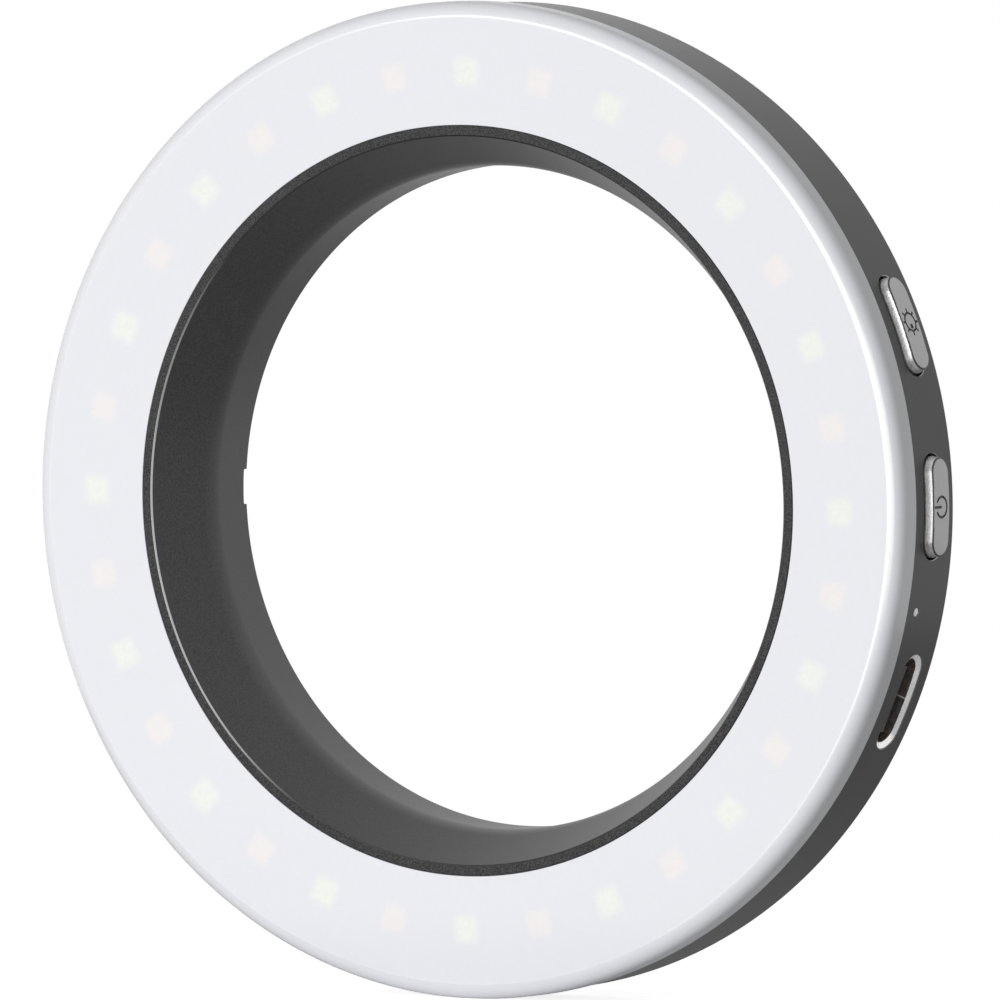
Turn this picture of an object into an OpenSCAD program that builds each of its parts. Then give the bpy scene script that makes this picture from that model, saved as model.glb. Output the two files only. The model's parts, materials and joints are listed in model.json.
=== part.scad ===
// Ring light that slips over a lens: a diffuser lit by cool and warm LEDs in a slim metal housing,
// with two side buttons, an indicator, a USB-C port and a rechargeable supply.
// Pieces are drawn with the ring's axis along Z and the front up, z = 0 at the end of the rear spigot,
// and angles run anticlockwise from 3 o'clock seen from the front. In the finished frame the front faces -Y.

/* [Lens sleeve] */
// Diameter of the straight bore that slips over the lens
bore_d = 60.4; // [58:0.1:62]
// Diameter of the flared mouth at the front lip
mouth_d = 66.4; // [65.6:0.1:67.4]
// Depth of the flare behind the front lip
flare_depth = 6.1; // [5:0.1:7]
// Radius that blends the flare into the straight bore
flare_blend = 5; // [2:0.5:7]
// Width of the flat front lip, from the mouth to the diffuser
lip_w = 0.94; // [0.7:0.02:1.2]
// Chamfer on the inner edge of the lip
lip_chamfer = 0.25; // [0.1:0.05:0.4]
// Step from the lip's outer face in to the sleeve's outer wall, which seats on the deck
shoulder_w = 0.54; // [0.4:0.02:0.7]
// Wall of the spigot behind the rear cover
spigot_wall = 2; // [1.4:0.1:2.3]
// Height of the spigot behind the rear cover
spigot_h = 1.7; // [1.2:0.1:2.4]
// Width of the key notch in the spigot's end
notch_w = 3.2; // [2:0.1:5]
// Depth of the key notch in the spigot's end
notch_depth = 0.6; // [0.3:0.1:1.1]
// Angle of the key notch
notch_angle = 180; // [170:1:190]

/* [Housing] */
// Diameter of the housing wall
housing_d = 90; // [89:0.5:98]
// Overall depth from the front lip to the end of the spigot
depth = 12.15; // [11.9:0.05:15]
// Thickness of the housing wall
wall = 1.5; // [1.3:0.1:1.7]
// Thickness of the deck that carries the boards
deck_t = 0.8; // [0.6:0.05:0.9]
// Thickness of the rear cover
cover_t = 1.2; // [1:0.05:1.3]
// Chamfer on the housing's rear outer edge
rear_chamfer = 0.2; // [0.1:0.05:0.4]
// Clearance between nested round pieces that don't move
fit = 0.05; // [0.03:0.01:0.08]

/* [Diffuser] */
// How far the diffuser stands out past the housing wall
diffuser_overhang = 0.38; // [0.1:0.02:0.6]
// How far the diffuser's face lies behind the front lip
diffuser_setback = 0.05; // [0:0.05:0.5]
// Thickness of the diffuser's face
diffuser_t = 1.5; // [1.2:0.1:1.6]
// Depth from the diffuser's face to the seam with the housing
skirt_h = 2.95; // [2.4:0.05:3]
// Radius of the diffuser's outer front edge
diffuser_round = 1.55; // [0.8:0.05:2]
// Thickness of the rims that locate the diffuser inside the housing and round the lip
rim_w = 0.7; // [0.5:0.05:0.9]
// How far the outer rim reaches into the housing
rim_depth = 0.6; // [0.3:0.05:0.7]

/* [LEDs] */
// Number of LEDs, cool and warm in turn
led_count = 32; // [20:2:40]
// Side of each square LED package
led_w = 2; // [1.6:0.1:2.6]
// Height of each LED package
led_h = 0.7; // [0.6:0.05:0.8]
// Side of the phosphor window in each package
phosphor_w = 1.6; // [1.2:0.05:1.6]
// Depth of the phosphor window
phosphor_t = 0.25; // [0.15:0.05:0.4]
// Air gap from the LEDs to the diffuser
led_gap = 0.65; // [0.3:0.05:0.8]
// Thickness of the LED board
led_board_t = 0.8; // [0.6:0.05:0.9]
// Thickness of the thermal tape under the LED board
tape_t = 0.2; // [0.15:0.05:0.3]

/* [Buttons] */
// Angle of the power button
power_angle = 0.4; // [-1.5:0.1:1.5]
// Angle of the brightness button
brightness_angle = 21.8; // [20:0.1:24]
// Length of each button cap round the wall
cap_l = 9.2; // [8:0.1:10]
// Height of each button cap along the ring's axis
cap_h = 3.1; // [2.6:0.1:3.2]
// Gap round each cap in its pocket
cap_gap = 0.25; // [0.15:0.01:0.3]
// How far each cap stands out of the wall
cap_proud = 0.8; // [0.5:0.05:1.2]
// Travel of each button
cap_travel = 0.3; // [0.2:0.05:0.4]
// Thickness of the flange that keeps a cap behind the wall
flange_t = 0.8; // [0.6:0.05:1]
// How far the flange reaches past each end of the pocket
flange_reach = 0.8; // [0.5:0.05:1]
// Gap from the flange to the inside of the wall at rest
flange_gap = 0.2; // [0.15:0.01:0.3]
// Length of the post behind each cap that bears on the switch
post_l = 0.3; // [0.2:0.05:0.5]
// Depth of the symbol cut into each cap
symbol_depth = 0.15; // [0.08:0.01:0.25]
// Width of the symbol's lines
symbol_line = 0.24; // [0.16:0.01:0.3]
// Diameter of the power symbol's ring
power_symbol_d = 2.1; // [1.7:0.05:2.4]
// Diameter across the rays of the brightness symbol
sun_symbol_d = 2.4; // [2:0.05:2.6]

/* [Switches] */
// Width of each switch body round the ring
switch_w = 4.6; // [4:0.1:5]
// Radial depth of each switch body
switch_l = 3.2; // [2.8:0.1:3.4]
// Height of each switch body
switch_h = 2.7; // [2.2:0.1:2.8]
// How far each plunger stands out of its switch
plunger_out = 0.6; // [0.5:0.05:0.8]
// Width of each plunger
plunger_w = 1.8; // [1.4:0.1:2.2]
// Height of each plunger
plunger_h = 1.2; // [0.9:0.1:1.4]
// Running gap round each plunger
plunger_gap = 0.08; // [0.05:0.01:0.1]
// Length of each plunger inside its switch
plunger_in = 0.7; // [0.5:0.05:0.9]
// Space left behind each plunger when it is pressed
plunger_rear_gap = 0.2; // [0.1:0.05:0.3]

/* [Port and indicator] */
// Angle of the USB-C port
usb_angle = -23; // [-24.5:0.1:-22.5]
// Outer width of the port's shell
usb_w = 8.94; // [8.9:0.01:9]
// Outer height of the port's shell
usb_h = 3.16; // [3.1:0.01:3.26]
// Length of the port's shell
usb_l = 7.35; // [6.8:0.05:7.8]
// Thickness of the port's shell
usb_shell_t = 0.3; // [0.25:0.01:0.35]
// How far the port's rim flares past its shell
usb_flare = 0.22; // [0.1:0.01:0.3]
// Length of the port's rim along the shell
usb_rim_l = 0.8; // [0.5:0.05:1.2]
// Depth of the bevel that leads into the port
usb_bevel = 0.35; // [0.25:0.05:0.5]
// Width of the port's tongue
tongue_w = 6.6; // [6.4:0.05:6.8]
// Thickness of the port's tongue
tongue_t = 0.7; // [0.6:0.01:0.75]
// Length of the base that holds the tongue in the shell
tongue_base_l = 1.8; // [1.2:0.1:2.4]
// How far the tongue's tip lies inside the port's mouth
tongue_setback = 0.8; // [0.5:0.05:1.2]
// Number of contacts on each side of the tongue
contact_count = 12; // [8:2:12]
// Width of each contact
contact_w = 0.25; // [0.15:0.01:0.3]
// Length of each contact
contact_l = 2.8; // [2:0.1:3.2]
// Thickness of each contact
contact_t = 0.05; // [0.03:0.01:0.08]
// Pitch of the contacts
contact_pitch = 0.5; // [0.4:0.01:0.5]
// Angle of the indicator
indicator_angle = -11.8; // [-12.4:0.1:-11.2]
// Diameter of the indicator's light guide
guide_d = 0.8; // [0.8:0.05:1.1]
// How far the light guide's axis lies in front of the main board's rear face
guide_rise = 0.22; // [0.1:0.01:0.25]
// Width of the light guide's collector behind the wall
collector_w = 2; // [1.6:0.1:2.2]
// Width of the indicator LED
indicator_w = 1.6; // [1.2:0.1:1.8]
// Radial depth of the indicator LED
indicator_l = 1; // [0.8:0.05:1.1]
// Height of the indicator LED
indicator_h = 0.6; // [0.4:0.05:0.7]

/* [Main board] */
// Thickness of the main board
board_t = 0.8; // [0.6:0.05:0.9]
// Arc from the port to the main board's lower end
board_margin_lower = 17; // [16:0.5:18]
// Arc from the brightness button to the main board's upper end
board_margin_upper = 16.5; // [16:0.5:18]
// Number of pins that join the two boards
pin_count = 4; // [3:1:4]
// Pitch of the pins
pin_pitch = 1.27; // [1.2:0.01:1.3]
// Diameter of each pin
pin_d = 0.45; // [0.4:0.01:0.5]
// How far each pin stands out of the boards
pin_out = 0.2; // [0.1:0.05:0.25]
// Width of the block that holds the pins
header_w = 1.4; // [1.2:0.05:1.6]
// Shank diameter of the board screws
board_screw_d = 1.2; // [1:0.1:1.3]
// Head diameter of the board screws
board_screw_head_d = 2; // [1.8:0.1:2.2]
// Head height of the board screws
board_screw_head_h = 0.5; // [0.4:0.05:0.7]
// Distance from the main board's outer edge to the board screws
board_screw_inset = 1.5; // [1.3:0.1:2.5]
// Arc from each end of the main board to its screw
board_screw_arc = 2.9; // [2.4:0.1:3.2]
// Distance from the main board's inner edge to the row of pins
header_inset = 2.1; // [1.2:0.1:2.4]
// Arc from the brightness button to the row of pins
header_arc = 9; // [8.5:0.1:9.5]
// Arc from the indicator to the charger chip
charger_arc = 1.5; // [0:0.1:2]
// Side of each chip
chip_w = 3; // [2.4:0.1:3]
// Height of each chip
chip_h = 0.8; // [0.6:0.05:1]
// Side of the inductor
inductor_w = 2.9; // [2.4:0.1:2.9]
// Height of the inductor
inductor_h = 1.6; // [1:0.1:2]
// Length of each capacitor
capacitor_l = 1; // [0.8:0.05:1.2]
// Width and height of each capacitor
capacitor_w = 0.5; // [0.4:0.05:0.6]
// Gap between neighbouring components in a row
component_gap = 0.8; // [0.6:0.05:0.9]
// Number of capacitors on each side of the inductor
capacitor_count = 3; // [1:1:3]

/* [Battery] */
// Length of each battery cell
cell_l = 22; // [18:0.5:22.5]
// Thickness of each battery cell
cell_t = 3.8; // [3:0.1:3.9]
// Radius of each cell's long edges
cell_round = 0.9; // [0.5:0.1:1.2]
// Half the arc between the two cells of a pair
cell_half_arc = 19.5; // [18.8:0.1:20]
// Thickness of the foam pads under the cells
pad_t = 0.2; // [0.1:0.05:0.25]
// Margin of each foam pad inside its cell's outline
pad_margin = 1; // [0.5:0.1:2]
// Thickness of the flexible strip that joins the cells
strip_t = 0.2; // [0.15:0.01:0.25]
// Height of the flexible strip
strip_h = 2.8; // [2:0.1:3]
// Gap on each side of the flexible strip
strip_gap = 0.12; // [0.08:0.01:0.15]
// Arc by which the strip's ends lie over the main board
strip_overlap = 2; // [1:0.5:3]

/* [Rear fasteners and magnets] */
// Number of screws that hold the rear cover
screw_count = 4; // [4:4:4]
// Angle of the first screw
screw_angle = 45; // [44.5:0.1:45.5]
// Shank diameter of the rear screws
screw_d = 1.6; // [1.4:0.05:1.7]
// Length of the rear screws from the rear face
screw_l = 4; // [3:0.1:4.6]
// Head diameter of the rear screws
screw_head_d = 2.8; // [2.5:0.05:3]
// Length of each arm of the cross recess in a rear screw
recess_l = 1.5; // [1:0.1:1.7]
// Width of the cross recess
recess_w = 0.35; // [0.25:0.01:0.4]
// Depth of the cross recess
recess_depth = 0.4; // [0.3:0.05:0.5]
// Diameter of the bosses that take the rear screws
boss_d = 3.4; // [3:0.05:3.5]
// Diameter of each magnet
magnet_d = 3.8; // [3:0.1:3.9]
// Thickness of each magnet
magnet_t = 1.6; // [1.2:0.05:1.7]
// Thickness of the rear cover left behind each magnet
magnet_skin = 0.5; // [0.4:0.05:0.6]
// Wall of the cup round each magnet
magnet_cup_wall = 0.45; // [0.3:0.05:0.5]
// Radius at which the magnets lie
magnet_radius = 37; // [36.6:0.1:37.1]
// Half the arc between the two magnets of a pair
magnet_half_arc = 3.6; // [3.5:0.1:3.8]

/* [Hidden] */

$fn = 96;
cut = 0.5;
blend_steps = 6;

// Clearances between neighbouring pieces
led_board_inner_gap = 0.25;
led_board_outer_gap = 0.15;
board_inner_gap = 0.9;
board_outer_gap = 0.4;
chip_gap = 0.3;
charger_gap = 0.4;
collector_gap = 0.2;
contact_tip_gap = 0.3;
cell_gap = 1;

// Radii from the axis outwards
bore_r = bore_d / 2;
mouth_r = mouth_d / 2;
lip_r = mouth_r + lip_w;
sleeve_r = lip_r - shoulder_w;
spigot_r = bore_r + spigot_wall;
housing_r = housing_d / 2;
inner_r = housing_r - wall;
diffuser_r = housing_r + diffuser_overhang;
edge_round = min(diffuser_round, skirt_h - fit);
face_from_r = lip_r + 2 * fit;
face_to_r = diffuser_r - edge_round;
led_r = (face_from_r + face_to_r) / 2;
rim_r = inner_r - fit;
led_board_from_r = lip_r + led_board_inner_gap;
led_board_to_r = rim_r - rim_w - led_board_outer_gap;

// Heights along the axis, from the front lip back
lip_z = depth;
face_z = lip_z - diffuser_setback;
skin_z = face_z - diffuser_t;
seam_z = face_z - skirt_h;
led_top_z = skin_z - led_gap;
led_board_z = led_top_z - led_h;
tape_z = led_board_z - led_board_t;
deck_z = tape_z - tape_t;
board_z = deck_z - deck_t;
parts_z = board_z - board_t;
rear_z = spigot_h;
cover_z = rear_z + cover_t;

// Buttons and switches, from the cap's face inwards
pocket_l = cap_l + 2 * cap_gap;
pocket_h = cap_h + 2 * cap_gap;
cap_r = housing_r + cap_proud;
flange_r = inner_r - flange_gap;
flange_l = pocket_l + 2 * flange_reach;
flange_from_r = flange_r - flange_t;
post_r = flange_from_r - post_l;
switch_r = post_r - plunger_out;
button_z = parts_z - switch_h / 2;
board_from_r = sleeve_r + board_inner_gap;
board_to_r = flange_from_r - cap_travel - board_outer_gap;

// Port and indicator
usb_z = parts_z - usb_h / 2;
usb_rim_w = usb_w + 2 * usb_flare;
usb_rim_h = usb_h + 2 * usb_flare;
usb_slot_w = usb_w - 2 * usb_shell_t;
usb_slot_h = usb_h - 2 * usb_shell_t;
usb_from_r = housing_r - usb_l;
tongue_from_r = usb_from_r + usb_shell_t;
tongue_base_r = tongue_from_r + tongue_base_l;
tongue_to_r = housing_r - tongue_setback;
contact_to_r = tongue_to_r - contact_tip_gap;
guide_z = parts_z + guide_rise;
indicator_to_r = board_to_r - collector_gap;
collector_from_r = board_to_r + collector_gap;
collector_to_r = inner_r - collector_gap;

// Main board and what stands on it
board_from = usb_angle - board_margin_lower;
board_to = brightness_angle + board_margin_upper;
chip_angle = (power_angle + brightness_angle) / 2;
chip_r = board_to_r - chip_gap - chip_w / 2;
inductor_r = chip_r - chip_w / 2 - chip_gap - inductor_w / 2;
charger_angle = indicator_angle + charger_arc;
charger_r = indicator_to_r - indicator_l - charger_gap - chip_w / 2;
header_angle = brightness_angle + header_arc;
header_r = board_from_r + header_inset;
header_l = pin_count * pin_pitch;
board_screw_r = board_to_r - board_screw_inset;
board_screw_angles = [board_to - board_screw_arc, board_from + board_screw_arc];
board_recess_l = board_screw_head_d * 0.6;
board_recess_w = recess_w * 0.7;

// Battery
strip_to_r = inner_r - strip_gap;
strip_from_r = strip_to_r - strip_t;
cell_corner_r = strip_from_r - strip_gap;
cell_from_y = sleeve_r + cell_gap;
cell_to_y = sqrt(pow(cell_corner_r, 2) - pow(cell_l / 2, 2));
cell_w = cell_to_y - cell_from_y;
cell_z = board_z - pad_t;
screw_arc = 360 / screw_count;
cell_middles = [for (i = [0 : screw_count - 2]) screw_angle + (i + 0.5) * screw_arc];
cell_angles = [for (middle = cell_middles, side = [-1, 1]) middle + side * cell_half_arc];

// Rear fasteners and magnets
boss_r = strip_from_r - strip_gap * 2 - boss_d / 2;
magnet_z = rear_z + magnet_skin;
magnet_cup_r = magnet_d / 2 + fit + magnet_cup_wall;
screw_places = [for (i = [0 : screw_count - 1]) screw_angle + i * screw_arc];
magnet_angles = [for (place = screw_places, side = [-1, 1]) place + side * magnet_half_arc];

// Turns a piece drawn round Z into the finished frame, with the front facing -Y
module ring_frame() {
    rotate([90, 0, 0]) children();
}

// Puts a piece at an angle, a radius and a height; its x then points outwards
module at(angle, radius = 0, height = 0) {
    rotate([0, 0, angle]) translate([radius, 0, height]) children();
}

// Flat ring between two radii, standing on a height
module washer(from_r, to_r, from_z, to_z) {
    translate([0, 0, from_z]) linear_extrude(to_z - from_z) difference() {
        circle(to_r);
        circle(from_r);
    }
}

// Sector that starts at one angle and ends at another, wide enough to cut the whole ring
module sector(from_angle, to_angle) {
    reach = housing_d;
    middle = (from_angle + to_angle) / 2;
    polygon([
        [0, 0],
        reach * [cos(from_angle), sin(from_angle)],
        reach * [cos(middle), sin(middle)],
        reach * [cos(to_angle), sin(to_angle)]
    ]);
}

module stadium(length, height) {
    square([length - height, height], center = true);
    for (side = [-1, 1]) translate([side * (length - height) / 2, 0]) circle(height / 2);
}

// Block with a drawn outline that runs outwards from one radius to another
module outward(from_r, to_r) {
    translate([from_r, 0, 0]) rotate([90, 0, 90]) linear_extrude(to_r - from_r) children();
}

// Everything inside the housing's outer cylinder
module within(radius) {
    translate([0, 0, -cut]) cylinder(r = radius, h = depth + 2 * cut, $fn = 180);
}

function blend_point(step, middle, from_angle, to_angle) =
    let (turn = from_angle + (to_angle - from_angle) * step / blend_steps)
    middle + flare_blend * [cos(turn), sin(turn)];

module front_diffuser() {
    color([0.93, 0.93, 0.95]) ring_frame() rotate_extrude($fn = 180) difference() {
        union() {
            translate([face_from_r, skin_z]) square([diffuser_r - face_from_r, diffuser_t]);
            translate([rim_r - rim_w, seam_z]) square([diffuser_r - rim_r + rim_w, skirt_h]);
            translate([rim_r - rim_w, seam_z - rim_depth]) square([rim_w, skirt_h]);
            translate([face_from_r, led_board_z + fit]) square([rim_w, face_z - led_board_z - fit]);
        }
        translate([face_to_r, face_z - edge_round]) difference() {
            square(edge_round + cut);
            circle(edge_round, $fn = 96);
        }
    }
}

module outer_housing() {
    color([0.22, 0.22, 0.23]) ring_frame() difference() {
        union() {
            rotate_extrude($fn = 180) polygon([
                [inner_r, rear_z],
                [housing_r - rear_chamfer, rear_z],
                [housing_r, rear_z + rear_chamfer],
                [housing_r, seam_z],
                [inner_r, seam_z]
            ]);
            washer(sleeve_r + fit, inner_r + fit, board_z, deck_z);
            for (place = screw_places) at(place, boss_r, cover_z) cylinder(d = boss_d, h = deck_z - cover_z);
        }
        for (place = [power_angle, brightness_angle])
            at(place, 0, button_z) outward(inner_r - cut, housing_r + cut) stadium(pocket_l, pocket_h);
        at(usb_angle, 0, usb_z)
            outward(inner_r - cut, housing_r + cut) stadium(usb_rim_w + 2 * fit, usb_rim_h + 2 * fit);
        at(indicator_angle, 0, guide_z) outward(inner_r - cut, housing_r + cut) circle(guide_d / 2 + fit);
        for (place = screw_places)
            at(place, boss_r, cover_z - cut) cylinder(d = screw_d + 2 * fit, h = board_z - cover_z + cut);
        for (place = board_screw_angles)
            at(place, board_screw_r, board_z - cut) cylinder(d = board_screw_d + 2 * fit, h = deck_t + 2 * cut);
        at(header_angle, header_r, board_z - cut) header_slot(deck_t + 2 * cut);
    }
}

module header_slot(height) {
    translate([0, 0, height / 2]) cube([header_w + 2 * fit, header_l + 2 * fit, height], center = true);
}

module lens_sleeve() {
    flare_angle = atan((mouth_r - bore_r) / flare_depth);
    bend_z = lip_z - flare_depth;
    tangent = flare_blend * tan(flare_angle / 2);
    lip_edge_r = mouth_r - lip_chamfer * tan(flare_angle);
    middle = [bore_r + flare_blend, bend_z - tangent];
    color([0.2, 0.2, 0.21]) ring_frame() difference() {
        rotate_extrude($fn = 180) polygon(concat(
            [[bore_r, 0], [spigot_r, 0], [spigot_r, cover_z], [sleeve_r, cover_z]],
            [[sleeve_r, deck_z], [lip_r, deck_z], [lip_r, lip_z], [lip_edge_r + lip_chamfer, lip_z]],
            [[lip_edge_r, lip_z - lip_chamfer]],
            [for (step = [blend_steps : -1 : 0]) blend_point(step, middle, 180, 180 - flare_angle)]
        ));
        at(notch_angle, bore_r - cut, 0)
            translate([0, -notch_w / 2, -cut]) cube([spigot_wall + 2 * cut, notch_w, notch_depth + cut]);
    }
}

// Countersunk head and shank of a rear screw, grown by a clearance where it cuts its hole
module screw_shape(gap, length) {
    head_h = (screw_head_d - screw_d) / 2;
    cylinder(d1 = screw_head_d + 2 * gap, d2 = screw_d + 2 * gap, h = head_h);
    cylinder(d = screw_d + 2 * gap, h = length);
}

module rear_cover() {
    color([0.2, 0.2, 0.21]) ring_frame() difference() {
        union() {
            washer(spigot_r + fit, inner_r - fit, rear_z, cover_z);
            for (place = magnet_angles)
                at(place, magnet_radius, rear_z) cylinder(r = magnet_cup_r, h = magnet_skin + magnet_t);
        }
        for (place = magnet_angles)
            at(place, magnet_radius, magnet_z) cylinder(r = magnet_d / 2 + fit, h = magnet_t + cut);
        for (place = screw_places) at(place, boss_r, rear_z) screw_shape(fit, cover_t + cut);
    }
}

module rear_screws() {
    color([0.3, 0.3, 0.31]) ring_frame() for (place = screw_places)
        at(place, boss_r, rear_z) difference() {
            screw_shape(0, screw_l);
            for (turn = [0, 90]) rotate([0, 0, turn])
                cube([recess_l, recess_w, 2 * recess_depth], center = true);
        }
}

module magnets() {
    color([0.75, 0.75, 0.77]) ring_frame() for (place = magnet_angles)
        at(place, magnet_radius, magnet_z) cylinder(d = magnet_d, h = magnet_t);
}

module led_board() {
    color([0.9, 0.9, 0.88]) ring_frame() difference() {
        washer(led_board_from_r, led_board_to_r, tape_z, led_board_z);
        at(header_angle, header_r, tape_z - cut) pin_row(pin_d / 2 + fit, led_board_t + 2 * cut);
    }
}

// Row of upright pins or of the holes for them
module pin_row(radius, height) {
    for (i = [0 : pin_count - 1])
        translate([0, (i - (pin_count - 1) / 2) * pin_pitch, 0]) cylinder(r = radius, h = height);
}

module led_packages() {
    color([0.95, 0.95, 0.93]) ring_frame() for (i = [0 : led_count - 1])
        at(90 - i * 360 / led_count, led_r, led_board_z) difference() {
            translate([0, 0, led_h / 2]) cube([led_w, led_w, led_h], center = true);
            translate([0, 0, led_h]) cube([phosphor_w, phosphor_w, 2 * phosphor_t], center = true);
        }
}

// Phosphor windows of every second LED, from the first or from the one after it
module phosphor(first) {
    ring_frame() for (i = [first : 2 : led_count - 1])
        at(90 - i * 360 / led_count, led_r, led_top_z - phosphor_t / 2)
            cube([phosphor_w, phosphor_w, phosphor_t], center = true);
}

module cool_phosphor() {
    color([0.93, 0.9, 0.45]) phosphor(0);
}

module warm_phosphor() {
    color([0.93, 0.68, 0.55]) phosphor(1);
}

module thermal_tape() {
    color([0.75, 0.78, 0.8]) ring_frame() difference() {
        washer(led_board_from_r, led_board_to_r, deck_z, tape_z);
        at(header_angle, header_r, deck_z - cut) header_slot(tape_t + 2 * cut);
    }
}

module main_board() {
    color([0.1, 0.35, 0.2]) ring_frame() difference() {
        translate([0, 0, parts_z]) linear_extrude(board_t) intersection() {
            difference() {
                circle(board_to_r);
                circle(board_from_r);
            }
            sector(board_from, board_to);
        }
        for (place = board_screw_angles)
            at(place, board_screw_r, parts_z - cut) cylinder(d = board_screw_d + 2 * fit, h = board_t + 2 * cut);
        at(header_angle, header_r, parts_z - cut) pin_row(pin_d / 2 + fit, board_t + 2 * cut);
    }
}

module board_screws() {
    color([0.7, 0.7, 0.72]) ring_frame() for (place = board_screw_angles)
        at(place, board_screw_r, parts_z - board_screw_head_h) difference() {
            union() {
                cylinder(d = board_screw_head_d, h = board_screw_head_h);
                cylinder(d = board_screw_d, h = board_screw_head_h + board_t + deck_t);
            }
            for (turn = [0, 90]) rotate([0, 0, turn])
                cube([board_recess_l, board_recess_w, board_screw_head_h], center = true);
        }
}

module header_block() {
    color([0.12, 0.12, 0.12]) ring_frame() at(header_angle, header_r, board_z) difference() {
        translate([0, 0, (deck_t + tape_t) / 2]) cube([header_w, header_l, deck_t + tape_t], center = true);
        translate([0, 0, -cut]) pin_row(pin_d / 2 + fit, deck_t + tape_t + 2 * cut);
    }
}

module header_pins() {
    color([0.85, 0.7, 0.3]) ring_frame() at(header_angle, header_r, parts_z - pin_out)
        pin_row(pin_d / 2, led_board_z - parts_z + 2 * pin_out);
}

module charger_chip() {
    color([0.1, 0.1, 0.1]) ring_frame() at(charger_angle, charger_r, parts_z - chip_h / 2)
        cube([chip_w, chip_w, chip_h], center = true);
}

module driver_chip() {
    color([0.1, 0.1, 0.1]) ring_frame() at(chip_angle, chip_r, parts_z - chip_h / 2)
        cube([chip_w, chip_w, chip_h], center = true);
}

module inductor() {
    color([0.25, 0.25, 0.25]) ring_frame() at(chip_angle, inductor_r, parts_z - inductor_h / 2)
        cube([inductor_w, inductor_w, inductor_h], center = true);
}

module capacitors() {
    first = inductor_w / 2 + component_gap + capacitor_w / 2;
    color([0.7, 0.6, 0.45]) ring_frame() for (i = [0 : capacitor_count - 1], side = [-1, 1])
        at(chip_angle, inductor_r, parts_z - capacitor_w / 2)
            translate([0, side * (first + i * (capacitor_w + component_gap)), 0])
            cube([capacitor_l, capacitor_w, capacitor_w], center = true);
}

module cell_outline() {
    for (x = [cell_round, cell_w - cell_round], z = [cell_round, cell_t - cell_round])
        translate([x, z]) circle(cell_round);
    translate([cell_round, 0]) square([cell_w - 2 * cell_round, cell_t]);
    translate([0, cell_round]) square([cell_w, cell_t - 2 * cell_round]);
}

module battery_cells() {
    color([0.7, 0.72, 0.75]) ring_frame() for (place = cell_angles)
        at(place, cell_from_y, cell_z - cell_t) translate([0, cell_l / 2, 0]) rotate([90, 0, 0])
            linear_extrude(cell_l) cell_outline();
}

module battery_pads() {
    color([0.15, 0.15, 0.15]) ring_frame() for (place = cell_angles)
        at(place, cell_from_y + pad_margin, cell_z) translate([0, pad_margin - cell_l / 2, 0])
            cube([cell_w - 2 * pad_margin, cell_l - 2 * pad_margin, pad_t]);
}

module battery_strip() {
    color([0.75, 0.45, 0.1]) ring_frame() difference() {
        washer(strip_from_r, strip_to_r, parts_z - strip_h, parts_z - fit);
        translate([0, 0, parts_z - strip_h - cut]) linear_extrude(strip_h + 2 * cut)
            sector(board_from + strip_overlap, board_to - strip_overlap);
    }
}

module usb_shell() {
    color([0.72, 0.72, 0.73]) ring_frame() intersection() {
        within(housing_r);
        at(usb_angle, 0, usb_z) difference() {
            union() {
                outward(usb_from_r, housing_r) stadium(usb_w, usb_h);
                outward(housing_r - usb_rim_l, housing_r + cut) stadium(usb_rim_w, usb_rim_h);
            }
            outward(usb_from_r - cut, housing_r + 2 * cut) stadium(usb_slot_w, usb_slot_h);
            usb_lead_in();
        }
    }
}

// Bevel from the port's rim in to its slot, with cones at the slot's round ends
module usb_lead_in() {
    from_r = housing_r - usb_bevel;
    mouth_h = usb_slot_h + (usb_rim_h - usb_slot_h) * (usb_bevel + cut) / usb_bevel;
    straight_l = usb_slot_w - usb_slot_h;
    for (side = [-1, 1]) translate([from_r, side * straight_l / 2, 0]) rotate([0, 90, 0])
        cylinder(d1 = usb_slot_h, d2 = mouth_h, h = usb_bevel + cut);
    rotate([90, 0, 0]) linear_extrude(straight_l, center = true) polygon([
        [from_r, -usb_slot_h / 2],
        [housing_r + cut, -mouth_h / 2],
        [housing_r + cut, mouth_h / 2],
        [from_r, usb_slot_h / 2]
    ]);
}

module usb_tongue() {
    color([0.16, 0.13, 0.12]) ring_frame() at(usb_angle, 0, usb_z) {
        outward(tongue_from_r, tongue_base_r)
            stadium(usb_slot_w - 2 * fit, usb_slot_h - 2 * fit);
        outward(tongue_base_r - fit, tongue_to_r) square([tongue_w, tongue_t], center = true);
    }
}

module usb_contacts() {
    color([0.85, 0.7, 0.3]) ring_frame() at(usb_angle, contact_to_r - contact_l, usb_z)
        for (i = [0 : contact_count - 1], side = [-1, 1])
            translate([
                0,
                (i - (contact_count - 1) / 2) * contact_pitch - contact_w / 2,
                side * (tongue_t + contact_t) / 2 - contact_t / 2
            ]) cube([contact_l, contact_w, contact_t]);
}

module light_guide() {
    color([0.85, 0.88, 0.88]) ring_frame() intersection() {
        within(housing_r);
        at(indicator_angle, 0, guide_z) {
            outward(collector_to_r - fit, housing_r + cut) circle(guide_d / 2);
            outward(collector_from_r, collector_to_r)
                translate([-collector_w / 2, -guide_rise - indicator_h])
                square([collector_w, guide_rise + indicator_h + guide_d / 2]);
        }
    }
}

module indicator_led() {
    color([0.95, 0.95, 0.9]) ring_frame()
        at(indicator_angle, indicator_to_r - indicator_l / 2, parts_z - indicator_h / 2)
            cube([indicator_l, indicator_w, indicator_h], center = true);
}

// Side-push switch with an open slot for its plunger
module side_switch(place) {
    cavity_l = plunger_in + cap_travel + plunger_rear_gap;
    color([0.12, 0.12, 0.12]) ring_frame() at(place, 0, button_z) difference() {
        outward(switch_r - switch_l, switch_r) square([switch_w, switch_h], center = true);
        outward(switch_r - cavity_l, switch_r + cut)
            square([plunger_w + 2 * plunger_gap, plunger_h + 2 * plunger_gap], center = true);
    }
}

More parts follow.
